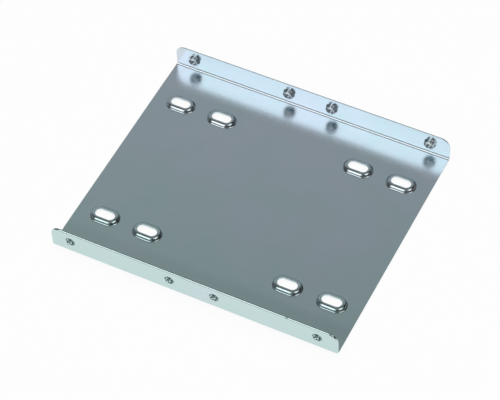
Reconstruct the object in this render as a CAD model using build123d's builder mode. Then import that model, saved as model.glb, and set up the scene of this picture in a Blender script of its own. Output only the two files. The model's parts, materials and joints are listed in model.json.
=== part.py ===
"""Adapter tray that carries a 2.5 inch drive in a 3.5 inch drive bay.

One zinc plated steel sheet: blanked, embossed and pierced flat, then folded up along both
long edges. The tapped holes in the flanges are burred inwards, so that a thin sheet holds a
screw. Millimetres. X runs along the flanges, Y across the tray, and Z up from its underside.
"""
import os
from math import atan2, degrees, radians, tan

from build123d import *

# Sheet and folds
sheet_thickness = 0.8
fold_inside_radius = 0.9
tray_width = 101.6
flange_height = 11.0
flange_corner_radius = 4.0

# Slots for the small drive: two rows, each with a pair of slots near either end
drive_row_spacing = 61.72
drive_hole_spacing = 76.6
slot_pair_spacing = 18.0
slot_length = 8.0
slot_width = 3.8

# Raised seat round each slot: its flat rim, the wall that slopes down to the sheet, and the eased
# shoulder between them
seat_height = 1.2
seat_rim = 1.15
seat_wall_lean = 34.0
seat_shoulder = 0.55

# Tapped holes for the bay's screws: four in each flange, each with a burred collar and a mouth
# that narrows to the tapping bore
bay_hole_span = 101.6
bay_hole_reach = 60.0
bay_hole_height = 6.35
tap_bore = 2.85
entry_diameter = 3.9
entry_depth = 1.2
collar_diameter = 4.3
collar_height = 1.6
collar_draft = 6.0

# Sheet beyond the end holes
end_margin = 8.2

# Nick left in the front flange's free edge
nick_position = 38.7
nick_radius = 0.3

# The tray runs past its end holes, and its fold is one sheet thickness larger outside than inside
tray_length = bay_hole_span + 2 * end_margin
fold_outside_radius = fold_inside_radius + sheet_thickness

# The seat grows from its rim to its foot, and its hollow is smaller by the sloping wall
seat_foot_growth = 2 * (seat_rim + seat_height * tan(radians(seat_wall_lean)))
wall_inset = sheet_thickness * tan(radians(90 - seat_wall_lean) / 2)
hollow_growth = seat_foot_growth - 2 * wall_inset

# The mouth's wall leans from its own diameter to the bore's over its depth
entry_lean = degrees(atan2((entry_diameter - tap_bore) / 2, entry_depth))

# Places of the holes in each flange, and of the slots in the tray
bay_hole_inner = bay_hole_reach - bay_hole_span / 2
bay_hole_columns = (-bay_hole_span / 2, -bay_hole_inner, bay_hole_inner, bay_hole_span / 2)
bay_holes = [(column, bay_hole_height) for column in bay_hole_columns]
slot_columns = [
    (drive_end * drive_hole_spacing + pair_end * slot_pair_spacing) / 2
    for drive_end in (-1, 1)
    for pair_end in (-1, 1)
]
slots = [(column, row * drive_row_spacing / 2) for row in (-1, 1) for column in slot_columns]

# The inside face of each flange, with its normal pointing into the channel
flange_inset = tray_width / 2 - sheet_thickness
back_inside = Plane(origin=(0, flange_inset, 0), x_dir=(1, 0, 0), z_dir=(0, -1, 0))
front_inside = Plane(origin=(0, -flange_inset, 0), x_dir=(-1, 0, 0), z_dir=(0, 1, 0))

with BuildPart() as bracket:
    # Channel: the sheet's outer line, offset inwards by its thickness
    with BuildSketch(Plane.YZ):
        with BuildLine():
            FilletPolyline(
                (-tray_width / 2, flange_height),
                (-tray_width / 2, 0),
                (tray_width / 2, 0),
                (tray_width / 2, flange_height),
                radius=fold_outside_radius,
            )
            offset(amount=sheet_thickness, side=Side.LEFT)
        make_face()
    extrude(amount=tray_length / 2, both=True)
    free_corners = bracket.edges().filter_by(Axis.Y).group_by(Axis.Z)[-1]
    fillet(free_corners, flange_corner_radius)

    # Nick through the front flange's free edge
    with BuildSketch(front_inside):
        with Locations((-nick_position, flange_height)):
            Circle(nick_radius)
    extrude(amount=-sheet_thickness, mode=Mode.SUBTRACT)

    # Seats, pressed up from the flat sheet
    with BuildSketch(Plane.XY.offset(sheet_thickness)):
        with Locations(*slots):
            SlotOverall(slot_length + seat_foot_growth, slot_width + seat_foot_growth)
    extrude(amount=seat_height, taper=seat_wall_lean)
    shoulders = bracket.edges(Select.LAST).group_by(Axis.Z)[-1]
    chamfer(shoulders, seat_shoulder)

    # Their hollow sides
    with BuildSketch():
        with Locations(*slots):
            SlotOverall(slot_length + hollow_growth, slot_width + hollow_growth)
    extrude(amount=seat_height, taper=seat_wall_lean, mode=Mode.SUBTRACT)

    # Slots through the seats
    with BuildSketch():
        with Locations(*slots):
            SlotOverall(slot_length, slot_width)
    extrude(amount=seat_height + sheet_thickness, mode=Mode.SUBTRACT)

    # Burred and tapped holes, punched from outside each flange
    for inside in (front_inside, back_inside):
        outside = inside.offset(-sheet_thickness)
        with BuildSketch(inside):
            with Locations(*bay_holes):
                Circle(collar_diameter / 2)
        extrude(amount=collar_height, taper=collar_draft)
        with BuildSketch(outside):
            with Locations(*bay_holes):
                Circle(tap_bore / 2)
        extrude(amount=sheet_thickness + collar_height, mode=Mode.SUBTRACT)
        with BuildSketch(outside):
            with Locations(*bay_holes):
                Circle(entry_diameter / 2)
        extrude(amount=entry_depth, taper=entry_lean, mode=Mode.SUBTRACT)

bracket.part.label = "bracket"

os.makedirs("parts", exist_ok=True)
export_step(bracket.part, "parts/bracket.step")
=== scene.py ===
"""Studio scene of a drive bay adapter bracket: one folded, zinc plated steel tray.

The tray is made in the order of its real making. A flat blank gets its cut edge, slot seats are
pressed up, burred holes are pierced and tapped, and both flanges are folded up last. A place on
the flat blank is (x, v, w): x along the flanges, v across the unfolded width from its middle, and
w through the sheet from its outer face, all in metres like the folded tray.
"""

import json
import logging
import math
from dataclasses import dataclass
from enum import Enum
from typing import Any, Mapping, Sequence

import bmesh
import bpy
from mathutils import Matrix, Vector

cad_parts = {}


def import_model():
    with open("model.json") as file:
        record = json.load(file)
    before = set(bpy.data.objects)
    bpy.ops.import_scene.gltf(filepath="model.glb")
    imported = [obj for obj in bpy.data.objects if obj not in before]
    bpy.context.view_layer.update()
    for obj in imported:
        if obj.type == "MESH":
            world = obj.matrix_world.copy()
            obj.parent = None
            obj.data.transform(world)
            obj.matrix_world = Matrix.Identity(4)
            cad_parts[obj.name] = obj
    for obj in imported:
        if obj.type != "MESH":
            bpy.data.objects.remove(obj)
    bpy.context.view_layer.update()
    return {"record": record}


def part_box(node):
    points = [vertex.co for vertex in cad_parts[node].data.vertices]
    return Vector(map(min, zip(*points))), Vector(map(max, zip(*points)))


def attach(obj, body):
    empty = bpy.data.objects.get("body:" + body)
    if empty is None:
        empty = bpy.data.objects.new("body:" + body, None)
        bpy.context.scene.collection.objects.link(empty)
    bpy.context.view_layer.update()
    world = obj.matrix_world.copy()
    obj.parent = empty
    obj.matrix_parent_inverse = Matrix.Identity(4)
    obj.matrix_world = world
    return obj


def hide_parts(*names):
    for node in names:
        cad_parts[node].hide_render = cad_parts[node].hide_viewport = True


MM = 0.001
# Places closer than this are the same place
NEAR = 0.001 * MM

NODE = "bracket"
BODY = "root"

log = logging.getLogger("tray")

Point = tuple[float, float]
Verts = list[bmesh.types.BMVert]
Edges = list[bmesh.types.BMEdge]


class Flange(Enum):
    """Which flange: the value is the side of the flat blank that it is folded from."""

    FRONT = -1
    BACK = 1


def direction(bearing: float, climb: float) -> Vector:
    """Direction towards a bearing and a height above the floor, both in radians.

    Args:
        bearing: Nought is towards the front flange, and a quarter turn towards the right end.
        climb: Angle above the floor.

    Returns:
        A vector of length one.
    """
    level = math.cos(climb)
    return Vector((math.sin(bearing) * level, -math.cos(bearing) * level, math.sin(climb)))


def linear(hex_colour: str) -> tuple[float, float, float, float]:
    """Turn an sRGB hex colour into a linear colour with full alpha.

    Args:
        hex_colour: Six hex digits, such as "c8d4d6".

    Returns:
        Red, green, blue and alpha for a shader socket.
    """
    parts = [int(hex_colour[i:i + 2], 16) / 255 for i in (0, 2, 4)]
    curve = [c / 12.92 if c <= 0.04045 else ((c + 0.055) / 1.055) ** 2.4 for c in parts]
    return curve[0], curve[1], curve[2], 1.0


def add(tree: bpy.types.NodeTree, kind: str, inputs: Mapping[Any, Any] | None = None,
        **settings: Any) -> bpy.types.Node:
    """Add a node with its settings and links.

    Args:
        tree: The tree that gets the node.
        kind: The node's type name.
        inputs: What each input gets, by name or number: a value, an output socket, or a node for
            its first output.
        settings: Properties of the node itself.

    Returns:
        The new node.
    """
    node = tree.nodes.new(kind)
    for name, value in settings.items():
        setattr(node, name, value)
    for key, value in (inputs or {}).items():
        if isinstance(value, bpy.types.Node):
            value = value.outputs[0]
        if isinstance(value, bpy.types.NodeSocket):
            tree.links.new(value, node.inputs[key])
        else:
            node.inputs[key].default_value = value
    return node


def rounded_line(corners: Sequence[Point], radii: Sequence[float], steps: int) -> list[Point]:
    """Round the inner corners of an open line with tangent arcs.

    Args:
        corners: The line's ends and corners.
        radii: One radius for each inner corner; nought keeps it sharp.
        steps: Straight pieces in each arc.

    Returns:
        The line's points, ends included.
    """
    points = [Vector(corners[0])]
    for before, corner, after, radius in zip(corners, corners[1:], corners[2:], radii):
        corner = Vector(corner)
        back = (Vector(before) - corner).normalized()
        onward = (Vector(after) - corner).normalized()
        if radius == 0:
            points.append(corner)
            continue
        half_opening = back.angle(onward) / 2
        centre = corner + (back + onward).normalized() * radius / math.sin(half_opening)
        start = corner + back * radius / math.tan(half_opening) - centre
        sweep = math.pi - 2 * half_opening
        if start.x * back.y - start.y * back.x > 0:
            sweep = -sweep
        for step in range(steps + 1):
            turned = Matrix.Rotation(sweep * step / steps, 2) @ start
            points.append(centre + turned)
    points.append(Vector(corners[-1]))
    return [(p.x, p.y) for p in points]


@dataclass(frozen=True)
class Sheet:
    """The sheet and its folds, with the way from the flat blank to the folded tray.

    The plate isn't quite flat: between its edges it is bowed up by a slight crown, which draws
    out the back flange's reflection as in the photograph.
    """

    length: float
    width: float
    height: float
    thickness: float = 0.8 * MM
    fold_inside_radius: float = 0.9 * MM
    fold_steps: int = 10
    crown_rise: float = 0.13 * MM
    crown_start: float = 37.0 * MM
    crown_end: float = 45.5 * MM
    crown_steps: int = 12

    @property
    def fold_outside_radius(self) -> float:
        """Radius of the fold's outer face."""
        return self.fold_inside_radius + self.thickness

    @property
    def fold_start(self) -> float:
        """Where the flat plate ends and a fold starts, across the blank."""
        return self.width / 2 - self.fold_outside_radius

    @property
    def fold_end(self) -> float:
        """Where a fold ends and the flat flange starts, across the blank."""
        return self.fold_start + math.pi / 2 * (self.fold_inside_radius + self.thickness / 2)

    @property
    def blank_half_width(self) -> float:
        """Half the blank's width, from its middle to a flange's free edge."""
        return self.at_height(self.height)

    def at_height(self, height: float) -> float:
        """Place across the blank that ends up at a height on a flange."""
        return self.fold_end + height - self.fold_outside_radius

    def crown(self, reach: float) -> float:
        """How far the plate is bowed up.

        Args:
            reach: Distance from the tray's centre line.

        Returns:
            The rise there, which falls smoothly to nought between crown_start and crown_end.
        """
        share = (self.crown_end - reach) / (self.crown_end - self.crown_start)
        share = min(max(share, 0.0), 1.0)
        smooth = share * share * (3 - 2 * share)
        return self.crown_rise * smooth

    def bend_lines(self) -> list[float]:
        """Where the facets of the crown's slope and of the fold meet.

        Returns:
            Places across the blank, on its back half, from the plate outwards.
        """
        lines = []
        for start, end, steps in ((self.crown_start, self.crown_end, self.crown_steps),
                                  (self.fold_start, self.fold_end, self.fold_steps)):
            lines += [start + (end - start) * step / steps for step in range(steps + 1)]
        return lines

    def folded(self, place: Vector) -> Vector:
        """Fold one place of the flat blank into the tray.

        Args:
            place: The place as (x, v, w).

        Returns:
            The same place in the folded tray.
        """
        x, v, w = place
        side = math.copysign(1.0, v)
        reach = abs(v)
        if reach <= self.fold_start:
            return Vector((x, v, w + self.crown(reach)))
        if reach >= self.fold_end:
            climb = reach - self.fold_end + self.fold_outside_radius
            return Vector((x, side * (self.width / 2 - w), climb))
        turn = math.pi / 2 * (reach - self.fold_start) / (self.fold_end - self.fold_start)
        radius = self.fold_outside_radius - w
        y = self.fold_start + radius * math.sin(turn)
        return Vector((x, side * y, self.fold_outside_radius - radius * math.cos(turn)))


@dataclass(frozen=True)
class Pattern:
    """Eight places on the blank: a pair, repeated at both ends, repeated on both sides."""

    pair_spacing: float
    end_spacing: float
    side_spacing: float


@dataclass
class RepeatedFeature:
    """A feature swept from a section, and repeated over the blank by Geometry Nodes.

    The section's points are (distance out from the path, w). The path is a circle, parted in the
    middle by a straight stretch when the feature is a slot.
    """

    pattern: Pattern
    round_points: int = 50

    def tree(self, name: str) -> bpy.types.NodeTree:
        """Start a tree with the inputs that every repeated feature has.

        Args:
            name: The tree's name.

        Returns:
            The tree, with its interface but no nodes.
        """
        tree = bpy.data.node_groups.new(name, "GeometryNodeTree")
        tree.interface.new_socket("Geometry", in_out="OUTPUT", socket_type="NodeSocketGeometry")
        tree.interface.new_socket("Section", in_out="INPUT", socket_type="NodeSocketGeometry")
        for title in ("Path Radius", "Straight", "Pair Spacing", "End Spacing", "Side Spacing"):
            tree.interface.new_socket(title, in_out="INPUT", socket_type="NodeSocketFloat")
        tree.interface.new_socket("Round Points", in_out="INPUT", socket_type="NodeSocketInt")
        tree.interface.new_socket("Material", in_out="INPUT", socket_type="NodeSocketMaterial")
        return tree

    @staticmethod
    def sweep(tree: bpy.types.NodeTree, given: bpy.types.Node) -> bpy.types.Node:
        """Add the nodes that sweep the section round the path.

        Args:
            tree: The tree that gets the nodes.
            given: The tree's input node.

        Returns:
            The node whose first output is the swept shell.
        """
        circle = add(tree, "GeometryNodeCurvePrimitiveCircle",
                     {"Resolution": given.outputs["Round Points"],
                      "Radius": given.outputs["Path Radius"]})
        place = add(tree, "GeometryNodeInputPosition")
        across = add(tree, "ShaderNodeSeparateXYZ", {0: place})
        side = add(tree, "ShaderNodeMath", {0: across.outputs["X"]}, operation="SIGN")
        half = add(tree, "ShaderNodeMath", {0: given.outputs["Straight"], 1: 0.5},
                   operation="MULTIPLY")
        shift = add(tree, "ShaderNodeMath", {0: side, 1: half}, operation="MULTIPLY")
        parted = add(tree, "ShaderNodeCombineXYZ", {"X": shift})
        path = add(tree, "GeometryNodeSetPosition", {"Geometry": circle, "Offset": parted})
        level = add(tree, "GeometryNodeSetCurveNormal", {"Curve": path}, mode="Z_UP")
        section = add(tree, "GeometryNodeMeshToCurve", {"Mesh": given.outputs["Section"]})
        return add(tree, "GeometryNodeCurveToMesh", {"Curve": level, "Profile Curve": section})

    @staticmethod
    def repeat(tree: bpy.types.NodeTree, given: bpy.types.Node, shell: bpy.types.Node) -> None:
        """Add the nodes that set the shell at the pattern's places and end the tree.

        Args:
            tree: The tree that gets the nodes.
            given: The tree's input node.
            shell: The node whose first output is the shell.
        """
        axes = {"Pair Spacing": "X", "End Spacing": "X", "Side Spacing": "Y"}
        for title, axis in axes.items():
            spacing = given.outputs[title]
            back_half = add(tree, "ShaderNodeMath", {0: spacing, 1: -0.5}, operation="MULTIPLY")
            start = add(tree, "ShaderNodeCombineXYZ", {axis: back_half})
            step = add(tree, "ShaderNodeCombineXYZ", {axis: spacing})
            places = add(tree, "GeometryNodeMeshLine",
                         {"Count": 2, "Start Location": start, "Offset": step})
            shell = add(tree, "GeometryNodeInstanceOnPoints", {"Points": places, "Instance": shell})
        real = add(tree, "GeometryNodeRealizeInstances", {"Geometry": shell})
        dressed = add(tree, "GeometryNodeSetMaterial",
                      {"Geometry": real, "Material": given.outputs["Material"]})
        add(tree, "NodeGroupOutput", {"Geometry": dressed})

    def grow(self, tree: bpy.types.NodeTree, section: Sequence[Point],
             sizes: Mapping[str, Any]) -> bpy.types.Mesh:
        """Run the tree on a section and give the plain mesh.

        Args:
            tree: The feature's tree.
            section: Points of the section, as (distance out from the path, w).
            sizes: The tree's inputs by name, apart from the pattern's.

        Returns:
            A mesh in the blank's coordinates.
        """
        line = bpy.data.meshes.new(tree.name)
        edges = [(i, i + 1) for i in range(len(section) - 1)]
        line.from_pydata([(out, -w, 0.0) for out, w in section], edges, [])
        carrier = bpy.data.objects.new(tree.name, line)
        bpy.context.scene.collection.objects.link(carrier)
        modifier = carrier.modifiers.new(tree.name, "NODES")
        modifier.node_group = tree
        values = {"Pair Spacing": self.pattern.pair_spacing,
                  "End Spacing": self.pattern.end_spacing,
                  "Side Spacing": self.pattern.side_spacing,
                  "Round Points": self.round_points, **sizes}
        sockets = {item.name: item.identifier for item in tree.interface.items_tree
                   if item.in_out == "INPUT"}
        for title, value in values.items():
            modifier[sockets[title]] = value
        evaluated = carrier.evaluated_get(bpy.context.evaluated_depsgraph_get())
        mesh = bpy.data.meshes.new_from_object(evaluated)
        carrier.modifiers.remove(modifier)
        bpy.data.objects.remove(carrier)
        bpy.data.meshes.remove(line)
        return mesh


@dataclass
class SlotSeats(RepeatedFeature):
    """Slots for the small drive's screws, each on a seat that is pressed up from the sheet."""

    thickness: float = 0.8 * MM
    slot_length: float = 8.0 * MM
    slot_width: float = 3.8 * MM
    height: float = 1.2 * MM
    rim: float = 1.15 * MM
    wall_lean: float = math.radians(34.0)
    bend_radius: float = 0.6 * MM
    cut_edge_radius: float = 0.1 * MM
    arc_steps: int = 7

    def section(self) -> list[Point]:
        """Draw the sheet's section through a seat.

        Returns:
            Points from the foot over the shoulder to the slot's edge, and back under the seat.
        """
        outer_radius = self.bend_radius + self.thickness
        run = self.height * math.tan(self.wall_lean)
        inset = self.thickness * math.tan((math.pi / 2 - self.wall_lean) / 2)
        land = outer_radius
        top = self.thickness + self.height
        corners = [
            (self.rim + run + land, self.thickness),
            (self.rim + run, self.thickness),
            (self.rim, top),
            (0.0, top),
            (0.0, self.height),
            (self.rim - inset, self.height),
            (self.rim + run - inset, 0.0),
            (self.rim + run - inset + land, 0.0),
        ]
        radii = [self.bend_radius, outer_radius, self.cut_edge_radius, self.cut_edge_radius,
                 self.bend_radius, outer_radius]
        return rounded_line(corners, radii, self.arc_steps)

    def mesh(self, material: bpy.types.Material) -> bpy.types.Mesh:
        """All eight seats, as open shells on the flat blank.

        Args:
            material: The sheet's finish.

        Returns:
            A mesh in the blank's coordinates.
        """
        tree = self.tree("slot_seats")
        given = add(tree, "NodeGroupInput")
        self.repeat(tree, given, self.sweep(tree, given))
        sizes = {"Path Radius": self.slot_width / 2, "Straight": self.slot_length - self.slot_width,
                 "Material": material}
        return self.grow(tree, self.section(), sizes)


@dataclass
class BurredHoles(RepeatedFeature):
    """Holes for the bay's screws, with the sheet drawn into a collar and tapped.

    A 60 degree thread's full triangle is as deep as thread_form of the pitch, and its root is cut
    off flat over thread_root_flat of half the pitch.
    """

    thickness: float = 0.8 * MM
    bore_radius: float = 1.425 * MM
    entry_radius: float = 1.95 * MM
    entry_depth: float = 1.2 * MM
    entry_edge_radius: float = 0.2 * MM
    entry_blend_radius: float = 1.0 * MM
    collar_radius: float = 2.15 * MM
    collar_height: float = 1.6 * MM
    collar_draft: float = math.radians(2.0)
    root_radius: float = 0.4 * MM
    lip_radius: float = 0.46 * MM
    mouth_radius: float = 0.18 * MM
    thread_pitch: float = 0.794 * MM
    thread_radius: float = 1.752 * MM
    thread_form: float = 0.866
    thread_root_flat: float = 0.125
    thread_facets: int = 10
    arc_steps: int = 6

    def section(self) -> list[Point]:
        """Draw the sheet's section through a burred hole.

        Returns:
            Points from the outer face up the bore, over the lip, and down outside the collar.
        """
        top = self.thickness + self.collar_height
        entry = self.entry_radius - self.bore_radius
        wall = self.collar_radius - self.bore_radius
        lip = wall - self.collar_height * math.tan(self.collar_draft)
        land = self.root_radius
        corners = [
            (entry + 2 * land, 0.0),
            (entry, 0.0),
            (0.0, self.entry_depth),
            (0.0, top),
            (lip, top),
            (wall, self.thickness),
            (wall + 2 * land, self.thickness),
        ]
        radii = [self.entry_edge_radius, self.entry_blend_radius, self.mouth_radius,
                 self.lip_radius, self.root_radius]
        points = rounded_line(corners, radii, self.arc_steps)

        # The stretch that the tap reaches is parted finely enough to carry the thread's form
        facet = self.thread_pitch / self.thread_facets
        thread_depth = self.thread_radius - self.bore_radius
        section = [points[0]]
        for point in points[1:]:
            start = section[-1]
            tapped = point[0] < thread_depth
            pieces = math.ceil(math.dist(start, point) / facet) if tapped else 1
            for piece in range(1, pieces + 1):
                share = piece / pieces
                section.append((start[0] + (point[0] - start[0]) * share,
                                start[1] + (point[1] - start[1]) * share))
        return section

    def tap(self, tree: bpy.types.NodeTree, given: bpy.types.Node,
            shell: bpy.types.Node) -> bpy.types.Node:
        """Add the nodes that cut the thread: metal inside the thread's form moves out to it.

        Args:
            tree: The tree that gets the nodes.
            given: The tree's input node.
            shell: The node whose first output is the untapped collar.

        Returns:
            The node whose first output is the tapped collar.
        """
        place = add(tree, "GeometryNodeInputPosition")
        part = add(tree, "ShaderNodeSeparateXYZ", {0: place})
        flat = add(tree, "ShaderNodeCombineXYZ", {"X": part.outputs["X"], "Y": part.outputs["Y"]})
        radius = add(tree, "ShaderNodeVectorMath", {0: flat}, operation="LENGTH")
        angle = add(tree, "ShaderNodeMath", {0: part.outputs["Y"], 1: part.outputs["X"]},
                    operation="ARCTAN2")
        turns = add(tree, "ShaderNodeMath", {0: angle, 1: math.tau}, operation="DIVIDE")
        pitches = add(tree, "ShaderNodeMath", {0: part.outputs["Z"], 1: given.outputs["Pitch"]},
                      operation="DIVIDE")
        phase = add(tree, "ShaderNodeMath", {0: pitches, 1: turns}, operation="SUBTRACT")
        share = add(tree, "ShaderNodeMath", {0: phase, 1: 1.0}, operation="FLOORED_MODULO")
        centred = add(tree, "ShaderNodeMath", {0: share, 1: 2.0, 2: -1.0}, operation="MULTIPLY_ADD")
        from_root = add(tree, "ShaderNodeMath", {0: centred}, operation="ABSOLUTE")
        depth = add(tree, "ShaderNodeMath", {0: given.outputs["Pitch"], 1: -self.thread_form},
                    operation="MULTIPLY")
        past_flat = add(tree, "ShaderNodeMath", {0: from_root, 1: self.thread_root_flat},
                        operation="SUBTRACT")
        root = given.outputs["Thread Radius"]
        flank = add(tree, "ShaderNodeMath", {0: past_flat, 1: depth, 2: root},
                    operation="MULTIPLY_ADD")
        form = add(tree, "ShaderNodeMath", {0: flank, 1: root}, operation="MINIMUM")
        cut = add(tree, "ShaderNodeMath", {0: radius.outputs["Value"], 1: form},
                  operation="MAXIMUM")
        stretch = add(tree, "ShaderNodeMath", {0: cut, 1: radius.outputs["Value"]},
                      operation="DIVIDE")
        wide = add(tree, "ShaderNodeCombineXYZ", {"X": stretch, "Y": stretch, "Z": 1.0})
        moved = add(tree, "ShaderNodeVectorMath", {0: place, 1: wide}, operation="MULTIPLY")
        return add(tree, "GeometryNodeSetPosition", {"Geometry": shell, "Position": moved})

    def mesh(self, material: bpy.types.Material) -> bpy.types.Mesh:
        """All eight burred and tapped holes, as open shells on the flat blank.

        Args:
            material: The sheet's finish.

        Returns:
            A mesh in the blank's coordinates.
        """
        tree = self.tree("burred_holes")
        for title in ("Pitch", "Thread Radius"):
            tree.interface.new_socket(title, in_out="INPUT", socket_type="NodeSocketFloat")
        given = add(tree, "NodeGroupInput")
        self.repeat(tree, given, self.tap(tree, given, self.sweep(tree, given)))
        sizes = {"Path Radius": self.bore_radius, "Straight": 0.0, "Material": material,
                 "Pitch": self.thread_pitch, "Thread Radius": self.thread_radius}
        return self.grow(tree, self.section(), sizes)


@dataclass
class CutEdge:
    """The blank's outline and the section of its cut edge.

    The die draws the outer face over at the edge, and leaves a fine burr on the inner one.
    """

    sheet: Sheet
    corner_radius: float = 4.0 * MM
    roll_inset: float = 0.74 * MM
    roll_depth: float = 0.64 * MM
    burr_radius: float = 0.06 * MM
    nick_place: float = 38.7 * MM
    nick_radius: float = 0.3 * MM
    corner_steps: int = 14
    nick_steps: int = 6
    roll_steps: int = 7

    def section(self) -> list[Point]:
        """Draw the section of the cut edge.

        Returns:
            Points (inset, w) from the inner face to the outer one.
        """
        points = []
        for step in range(self.roll_steps + 1):
            turn = math.pi / 2 * step / self.roll_steps
            points.append((self.burr_radius * (1 - math.sin(turn)),
                           self.sheet.thickness - self.burr_radius * (1 - math.cos(turn))))
        for step in range(self.roll_steps + 1):
            turn = math.pi / 2 * step / self.roll_steps
            points.append((self.roll_inset * (1 - math.cos(turn)),
                           self.roll_depth * (1 - math.sin(turn))))
        return points

    def corner(self, x_side: int, flange: Flange, inset: float) -> list[Point]:
        """Draw one rounded free corner.

        Args:
            x_side: 1 at the tray's right end and -1 at its left end.
            flange: The flange that the corner is on.
            inset: Distance in from the edge.

        Returns:
            Its points in the outline's anticlockwise order.
        """
        centre_x = x_side * (self.sheet.length / 2 - self.corner_radius)
        centre_v = flange.value * (self.sheet.blank_half_width - self.corner_radius)
        radius = self.corner_radius - inset
        quarter = math.pi / 2
        anticlockwise = [(1, Flange.BACK), (-1, Flange.BACK), (-1, Flange.FRONT), (1, Flange.FRONT)]
        start = quarter * anticlockwise.index((x_side, flange))
        turns = [start + quarter * step / self.corner_steps
                 for step in range(self.corner_steps + 1)]
        return [(centre_x + radius * math.cos(t), centre_v + radius * math.sin(t)) for t in turns]

    def nick(self, inset: float) -> list[Point]:
        """Draw the small nick in the front flange's free edge.

        Args:
            inset: Distance in from the edge.

        Returns:
            Its points from left to right.
        """
        radius = self.nick_radius + inset
        mouth = math.asin(inset / radius)
        turns = [math.pi - mouth - (math.pi - 2 * mouth) * step / self.nick_steps
                 for step in range(self.nick_steps + 1)]
        edge = -self.sheet.blank_half_width
        return [(self.nick_place + radius * math.cos(t), edge + radius * math.sin(t))
                for t in turns]

    def outline(self, inset: float) -> list[Point]:
        """The blank's outline, set in from its true edge.

        Args:
            inset: Distance in from the edge.

        Returns:
            Points (x, v), anticlockwise, as many for any inset.
        """
        end = self.sheet.length / 2 - inset
        lines = self.sheet.bend_lines()
        climb = [-v for v in reversed(lines)] + lines
        right = [(end, v) for v in climb]
        left = [(-end, v) for v in reversed(climb)]
        return [*right, *self.corner(1, Flange.BACK, inset), *self.corner(-1, Flange.BACK, inset),
                *left, *self.corner(-1, Flange.FRONT, inset), *self.nick(inset),
                *self.corner(1, Flange.FRONT, inset)]


@dataclass
class Tray:
    """The whole bracket: blank, seats, holes and folds, as one closed sheet."""

    sheet: Sheet
    edge: CutEdge
    seats: SlotSeats
    holes: BurredHoles
    sharp_angle: float = math.radians(50)
    normal_weight: int = 80

    def rim(self, form: bmesh.types.BMesh) -> tuple[Verts, Verts]:
        """Build the cut edge all round the blank.

        Args:
            form: The mesh that gets it.

        Returns:
            The vertices where it meets the inner face, and those where it meets the outer one.
        """
        loops = [[form.verts.new((x, v, w)) for x, v in self.edge.outline(inset)]
                 for inset, w in self.edge.section()]
        for upper, lower in zip(loops, loops[1:]):
            for i, vert in enumerate(upper):
                after = (i + 1) % len(upper)
                form.faces.new((vert, lower[i], lower[after], upper[after]))
        return loops[0], loops[-1]

    def skin(self, form: bmesh.types.BMesh, rim: Verts, openings: Edges) -> None:
        """Fill one face of the blank between its rim and its openings.

        Args:
            form: The mesh that gets the faces.
            rim: The rim's vertices on this face.
            openings: Edges round this face's openings.
        """
        # Straight strips across the tray carry the crown's slope and the fold
        lines = self.sheet.bend_lines()
        for flange in Flange:
            pairs = []
            for line in lines:
                ends = [v for v in rim if abs(v.co.y - flange.value * line) < NEAR]
                pairs.append(sorted(ends, key=lambda vert: vert.co.x))
            for (a, b), (c, d) in zip(pairs, pairs[1:]):
                form.faces.new((a, b, d, c))

        # The plate and both flanges are flat, and filled round their openings
        loop = [form.edges.get((v, rim[(i + 1) % len(rim)])) for i, v in enumerate(rim)]
        for low, high in ((-math.inf, -lines[-1]), (-lines[0], lines[0]), (lines[-1], math.inf)):
            border = [e for e in loop if self.between(e, low, high)]
            across = [e for e in form.edges
                      if e.is_boundary and self.between(e, low, high) and e not in openings
                      and abs(e.verts[0].co.y - e.verts[1].co.y) < NEAR
                      and e.verts[0] in rim and e.verts[1] in rim and e not in border]
            holes = [e for e in openings if self.between(e, low, high)]
            bmesh.ops.triangle_fill(form, edges=border + across + holes, use_beauty=True)

    @staticmethod
    def between(edge: bmesh.types.BMEdge, low: float, high: float) -> bool:
        """Whether an edge lies wholly between two places across the blank."""
        return all(low - NEAR < vert.co.y < high + NEAR for vert in edge.verts)

    def mesh(self, material: bpy.types.Material) -> bpy.types.Mesh:
        """Build the blank with its features, close it, and fold it.

        Args:
            material: The sheet's finish.

        Returns:
            The folded tray's mesh.
        """
        form = bmesh.new()
        for feature in (self.seats, self.holes):
            part = feature.mesh(material)
            form.from_mesh(part)
            bpy.data.meshes.remove(part)
        open_edges = [e for e in form.edges if e.is_boundary]
        inner_rim, outer_rim = self.rim(form)
        middle = self.sheet.thickness / 2
        for rim, is_inner in ((inner_rim, True), (outer_rim, False)):
            openings = [e for e in open_edges if (e.verts[0].co.z > middle) == is_inner]
            self.skin(form, rim, openings)
        for face in form.faces:
            face.smooth = True
        bmesh.ops.recalc_face_normals(form, faces=form.faces)
        for vert in form.verts:
            vert.co = self.sheet.folded(vert.co)
        loose = sum(1 for e in form.edges if not e.is_manifold)
        log.info("tray: %d faces, %d open edges", len(form.faces), loose)
        mesh = bpy.data.meshes.new("tray")
        form.to_mesh(mesh)
        form.free()
        mesh.materials.clear()
        mesh.materials.append(material)
        return mesh

    def build(self, material: bpy.types.Material) -> bpy.types.Object:
        """Make the tray's object, with normals weighted so that flats stay flat.

        Args:
            material: The sheet's finish.

        Returns:
            The finished piece, riding on the frame.
        """
        piece = bpy.data.objects.new("zinc_tray", self.mesh(material))
        bpy.context.scene.collection.objects.link(piece)
        piece.data.set_sharp_from_angle(angle=self.sharp_angle)
        weighting = piece.modifiers.new("weighted", "WEIGHTED_NORMAL")
        weighting.weight = self.normal_weight
        weighting.keep_sharp = True
        evaluated = piece.evaluated_get(bpy.context.evaluated_depsgraph_get())
        weighted = bpy.data.meshes.new_from_object(evaluated)
        piece.modifiers.remove(weighting)
        piece.data = weighted
        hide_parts(NODE)
        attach(piece, BODY)
        return piece


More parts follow.
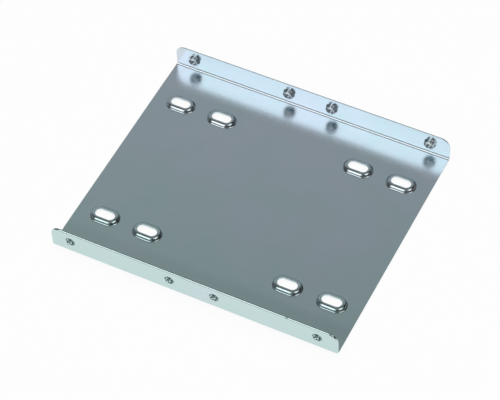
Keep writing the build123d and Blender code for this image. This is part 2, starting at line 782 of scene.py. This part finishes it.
@dataclass(frozen=True)
class BrightZinc:
    """Bright zinc plating with a clear bluish passivation, on cold rolled sheet.

    To the eye: a pale blue metal, satin rather than mirror. The passivation film dried last at the
    middle of the back flange, so its tint drifts in clouds from sea green at the front to lilac
    there. The sheet's rolling shows through as a faint grain along the flanges, and handling left
    a few hairlines.
    """

    green_film: str = "c6dddc"
    lilac_film: str = "d3dce5"
    roughness: float = 0.25
    roughness_spread: float = 0.05
    cloud_size: float = 26.0 * MM
    cloud_detail: float = 3.0
    cloud_roughness: float = 0.55
    cloud_low: float = 0.3
    cloud_high: float = 0.7
    cloud_share: float = 0.35
    dried_last: float = 45.0 * MM
    drying_length: float = 200.0 * MM
    drying_width: float = 100.0 * MM
    # The real grain and hairlines are a few hundredths of a millimetre wide, and drawn coarser so
    # that they show
    grain_width: float = 0.7 * MM
    grain_length: float = 14.0 * MM
    grain_depth: float = 0.0014 * MM
    hairline_width: float = 0.4 * MM
    hairline_length: float = 35.0 * MM
    hairline_turns: tuple[float, ...] = (math.radians(24), math.radians(-38))
    hairline_low: float = 0.7
    hairline_high: float = 0.76
    hairline_haze: float = 0.025
    streak_detail: float = 2.0
    ripple_detail: float = 1.0
    ripple_size: float = 12.0 * MM
    ripple_depth: float = 0.025 * MM

    def streaks(self, tree: bpy.types.NodeTree, place: bpy.types.Node, turn: float,
                length: float, width: float) -> bpy.types.Node:
        """Add a noise that is drawn out along one direction of the sheet.

        Args:
            tree: The material's tree.
            place: The texture coordinate node.
            turn: Direction in the sheet, from the flanges' own direction.
            length: Size of the noise along its direction.
            width: Size of the noise across it.

        Returns:
            The noise node.
        """
        turned = add(tree, "ShaderNodeMapping",
                     {"Vector": place.outputs["Object"], "Rotation": (0, 0, turn)})
        drawn = add(tree, "ShaderNodeVectorMath",
                    {0: turned, 1: (1 / length, 1 / width, 1 / width)}, operation="MULTIPLY")
        return add(tree, "ShaderNodeTexNoise",
                   {"Vector": drawn, "Scale": 1.0, "Detail": self.streak_detail})

    def material(self) -> bpy.types.Material:
        """Build the finish as a node material.

        Returns:
            The material, which works in metres of the tray's own coordinates.
        """
        made = bpy.data.materials.new("bright_zinc_plating")
        made.use_nodes = True
        tree = made.node_tree
        shader = tree.nodes["Principled BSDF"]
        shader.inputs["Metallic"].default_value = 1.0
        place = add(tree, "ShaderNodeTexCoord")

        # Film tint: lilac where the tray dried last, sea green far from there, and clouded
        shrink = (1 / self.drying_length, 1 / self.drying_width, 0)
        last = (0, self.dried_last / self.drying_width, 0)
        dried = add(tree, "ShaderNodeVectorMath", {0: place.outputs["Object"], 1: shrink},
                    operation="MULTIPLY")
        reach = add(tree, "ShaderNodeVectorMath", {0: dried, 1: last}, operation="DISTANCE")
        drying = add(tree, "ShaderNodeMath", {0: 1.0, 1: reach.outputs["Value"]},
                     operation="SUBTRACT")
        cloud = add(tree, "ShaderNodeTexNoise",
                    {"Vector": place.outputs["Object"], "Scale": 1 / self.cloud_size,
                     "Detail": self.cloud_detail, "Roughness": self.cloud_roughness})
        patch = add(tree, "ShaderNodeMapRange",
                    {0: cloud, "From Min": self.cloud_low, "From Max": self.cloud_high,
                     "To Min": -self.cloud_share, "To Max": self.cloud_share})
        film = add(tree, "ShaderNodeMath", {0: drying, 1: patch}, operation="ADD", use_clamp=True)
        # A mix node has several inputs of one name: 6 and 7 are its colours, and output 2 their mix
        tint = add(tree, "ShaderNodeMix",
                   {0: film, 6: linear(self.green_film), 7: linear(self.lilac_film)},
                   data_type="RGBA")
        tree.links.new(tint.outputs[2], shader.inputs["Base Color"])

        # Gloss: satin, a little hazier along the grain's coarser bands and in the hairlines
        grain = self.streaks(tree, place, 0.0, self.grain_length, self.grain_width)
        haze = add(tree, "ShaderNodeMath", {0: grain, 1: self.roughness_spread,
                                            2: self.roughness - self.roughness_spread / 2},
                   operation="MULTIPLY_ADD")
        for turn in self.hairline_turns:
            line = self.streaks(tree, place, turn, self.hairline_length, self.hairline_width)
            mark = add(tree, "ShaderNodeMapRange",
                       {0: line, "From Min": self.hairline_low, "From Max": self.hairline_high,
                        "To Max": self.hairline_haze})
            haze = add(tree, "ShaderNodeMath", {0: haze, 1: mark}, operation="ADD")
        tree.links.new(haze.outputs[0], shader.inputs["Roughness"])

        # Relief in metres: the grain's fine ridges on the sheet's slight ripples
        ripple = add(tree, "ShaderNodeTexNoise",
                     {"Vector": place.outputs["Object"], "Scale": 1 / self.ripple_size,
                      "Detail": self.ripple_detail})
        ridges = add(tree, "ShaderNodeMath", {0: grain, 1: self.grain_depth}, operation="MULTIPLY")
        relief = add(tree, "ShaderNodeMath", {0: ripple, 1: self.ripple_depth, 2: ridges},
                     operation="MULTIPLY_ADD")
        bump = add(tree, "ShaderNodeBump", {"Height": relief, "Distance": 1.0})
        tree.links.new(bump.outputs[0], shader.inputs["Normal"])
        return made


@dataclass(frozen=True)
class WhiteFloor:
    """Matt white paper, lit from below as on a light table.

    To the eye: an even pale ground that still keeps the tray's shadow. The metal mirrors its glow.
    """

    colour: str = "f4f4f4"
    roughness: float = 0.9
    glow: float = 0.9

    def material(self) -> bpy.types.Material:
        """Build the finish as a node material.

        Returns:
            The material, which glows only for the camera and in reflections.
        """
        made = bpy.data.materials.new("white_floor")
        made.use_nodes = True
        tree = made.node_tree
        shader = tree.nodes["Principled BSDF"]
        shader.inputs["Base Color"].default_value = linear(self.colour)
        shader.inputs["Roughness"].default_value = self.roughness
        shine = add(tree, "ShaderNodeEmission", {"Strength": 1.0})
        path = add(tree, "ShaderNodeLightPath")
        seen = add(tree, "ShaderNodeMath",
                   {0: path.outputs["Is Camera Ray"], 1: path.outputs["Is Glossy Ray"]},
                   operation="MAXIMUM")
        share = add(tree, "ShaderNodeMath", {0: seen, 1: self.glow}, operation="MULTIPLY")
        both = add(tree, "ShaderNodeMixShader", {0: share, 1: shader, 2: shine})
        tree.links.new(both.outputs[0], tree.nodes["Material Output"].inputs["Surface"])
        return made


@dataclass(frozen=True)
class SoftPanel:
    """A large soft light panel of the studio, far from the tray. Angles are in degrees.

    Bearing nought is towards the front flange and 90 towards the tray's right end. The panel
    fades from half_width less softness to half_width plus softness, and so in its height.
    """

    bearing: float
    elevation: float
    half_width: float
    half_height: float
    softness: float
    level: float
    colour: str = "ffffff"

    def glow(self, tree: bpy.types.NodeTree, towards: bpy.types.NodeSocket) -> bpy.types.Node:
        """Add the nodes that give this panel's light in each direction.

        Args:
            tree: The world's tree.
            towards: The direction that is looked in.

        Returns:
            The node whose first output is the panel's light.
        """
        turn = math.radians(self.bearing)
        middle = direction(turn, math.radians(self.elevation))
        right = Vector((math.cos(turn), math.sin(turn), 0))
        up = middle.cross(right)
        facing = add(tree, "ShaderNodeVectorMath", {0: towards, 1: middle},
                     operation="DOT_PRODUCT").outputs["Value"]
        light = add(tree, "ShaderNodeMath", {0: facing, 1: 0.0}, operation="GREATER_THAN")
        for axis, half in ((right, self.half_width), (up, self.half_height)):
            along = add(tree, "ShaderNodeVectorMath", {0: towards, 1: axis},
                        operation="DOT_PRODUCT").outputs["Value"]
            angle = add(tree, "ShaderNodeMath", {0: along, 1: facing}, operation="ARCTAN2")
            off = add(tree, "ShaderNodeMath", {0: angle}, operation="ABSOLUTE")
            fade = add(tree, "ShaderNodeMapRange",
                       {"Value": off, "From Min": math.radians(half + self.softness),
                        "From Max": math.radians(half - self.softness)},
                       interpolation_type="SMOOTHSTEP")
            light = add(tree, "ShaderNodeMath", {0: light, 1: fade}, operation="MULTIPLY")
        bright = [part * self.level for part in linear(self.colour)[:3]]
        return add(tree, "ShaderNodeVectorMath", {0: light, 1: bright}, operation="MULTIPLY")


@dataclass
class Studio:
    """Pale floor, soft surround light and the camera at the photograph's angle.

    The camera's angles and distance follow from the two hole patterns, which have standard sizes.
    Its lens and sensor are in millimetres, and the rest is in metres and radians. The clip
    distances are shares of the camera's distance.
    """

    azimuth: float = math.radians(28.70)
    elevation: float = math.radians(51.19)
    roll: float = math.radians(-2.76)
    distance: float = 856.0 * MM
    aim_right: float = 1.42 * MM
    aim_down: float = 0.56 * MM
    lens: float = 162.4
    sensor: float = 36.0
    clip_near: float = 0.01
    clip_far: float = 100.0
    floor_size: float = 4.0
    dim_level: float = 0.02
    panels: tuple[SoftPanel, ...] = (
        # Seen in the back flange and its reflection, and in the seats' front sides
        SoftPanel(bearing=-23, elevation=43, half_width=16, half_height=19, softness=9, level=2.08),
        # Seen as glints at the seats' right ends and in the holes
        SoftPanel(bearing=80, elevation=54, half_width=13, half_height=14, softness=6, level=2.06),
        # Seen in the plate
        SoftPanel(bearing=208, elevation=36, half_width=42, half_height=26, softness=12, level=0.41,
                  colour="f3faff"),
        # Seen in the plate from above, from behind and from the right
        SoftPanel(bearing=0, elevation=90, half_width=14, half_height=14, softness=12, level=0.25),
        SoftPanel(bearing=45, elevation=15, half_width=30, half_height=8, softness=6, level=0.2),
        SoftPanel(bearing=270, elevation=19, half_width=25, half_height=6, softness=6, level=0.2),
    )
    lamp_size: float = 2.0
    lamp_height: float = 1.5
    lamp_power: float = 20.0

    @staticmethod
    def view() -> None:
        """Show colours as they are, with no film curve."""
        bpy.context.scene.view_settings.view_transform = "Standard"

    def camera(self) -> None:
        """Set the camera, and make it the scene's own."""
        away = direction(self.azimuth, self.elevation)
        level = Vector((0, 0, 1)).cross(away).normalized()
        upright = away.cross(level)
        right = level * math.cos(self.roll) + upright * math.sin(self.roll)
        up = upright * math.cos(self.roll) - level * math.sin(self.roll)
        place = away * self.distance - right * self.aim_right + up * self.aim_down
        data = bpy.data.cameras.new("camera")
        data.lens = self.lens
        data.sensor_width = self.sensor
        data.clip_start = self.distance * self.clip_near
        data.clip_end = self.distance * self.clip_far
        camera = bpy.data.objects.new("camera", data)
        bpy.context.scene.collection.objects.link(camera)
        turn = Matrix((right, up, away)).transposed().to_4x4()
        camera.matrix_world = Matrix.Translation(place) @ turn
        bpy.context.scene.camera = camera

    def floor(self) -> None:
        """Lay the pale floor under the tray."""
        half = self.floor_size / 2
        mesh = bpy.data.meshes.new("floor")
        corners = [(-half, -half, 0), (half, -half, 0), (half, half, 0), (-half, half, 0)]
        mesh.from_pydata(corners, [], [(0, 1, 2, 3)])
        mesh.materials.append(WhiteFloor().material())
        floor = bpy.data.objects.new("floor", mesh)
        bpy.context.scene.collection.objects.link(floor)

    def surround(self) -> None:
        """Light the tray with a dim studio that holds a few large soft panels."""
        world = bpy.data.worlds.new("surround")
        bpy.context.scene.world = world
        world.use_nodes = True
        tree = world.node_tree
        tree.nodes["Background"].inputs["Strength"].default_value = 1.0
        towards = add(tree, "ShaderNodeTexCoord").outputs["Generated"]
        total = [self.dim_level] * 3
        for panel in self.panels:
            total = add(tree, "ShaderNodeVectorMath", {0: total, 1: panel.glow(tree, towards)},
                        operation="ADD")
        tree.links.new(total.outputs[0], tree.nodes["Background"].inputs["Color"])

    def overhead(self) -> None:
        """Hang a wide lamp overhead that lifts matt surfaces to their written colour.

        Metal doesn't mirror it, so the plating shows only the floor and the panels.
        """
        data = bpy.data.lights.new("overhead", "AREA")
        data.shape = "SQUARE"
        data.size = self.lamp_size
        data.energy = self.lamp_power
        lamp = bpy.data.objects.new("overhead", data)
        lamp.location = (0, 0, self.lamp_height)
        lamp.visible_glossy = False
        bpy.context.scene.collection.objects.link(lamp)


def main() -> None:
    """Build the scene in order and report each piece."""
    logging.basicConfig(level=logging.INFO, format="%(name)s: %(message)s")
    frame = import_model()
    low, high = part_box(NODE)
    mounts = {mount["name"]: mount for mount in frame["record"]["mounts"]}
    slots = mounts["drive_slots_right"]
    outer_holes = mounts["back_flange_outer_holes"]
    inner_holes = mounts["back_flange_inner_holes"]

    sheet = Sheet(length=high.x - low.x, width=high.y - low.y, height=high.z - low.z)
    seat_pattern = Pattern(pair_spacing=2 * slots["pos_m"][0],
                           end_spacing=slots["dims"]["spacing_x_mm"] * MM,
                           side_spacing=slots["dims"]["spacing_y_mm"] * MM)
    outer_spacing = outer_holes["dims"]["spacing_x_mm"] * MM
    inner_spacing = inner_holes["dims"]["spacing_x_mm"] * MM
    hole_pattern = Pattern(pair_spacing=(outer_spacing - inner_spacing) / 2,
                           end_spacing=(outer_spacing + inner_spacing) / 2,
                           side_spacing=2 * sheet.at_height(outer_holes["pos_m"][2]))
    tray = Tray(sheet=sheet, edge=CutEdge(sheet), seats=SlotSeats(seat_pattern),
                holes=BurredHoles(hole_pattern))
    piece = tray.build(BrightZinc().material())
    log.info("%s: %d triangles", piece.name, sum(len(p.vertices) - 2 for p in piece.data.polygons))

    studio = Studio()
    studio.view()
    studio.camera()
    studio.floor()
    studio.surround()
    studio.overhead()


if __name__ == "__main__":
    main()
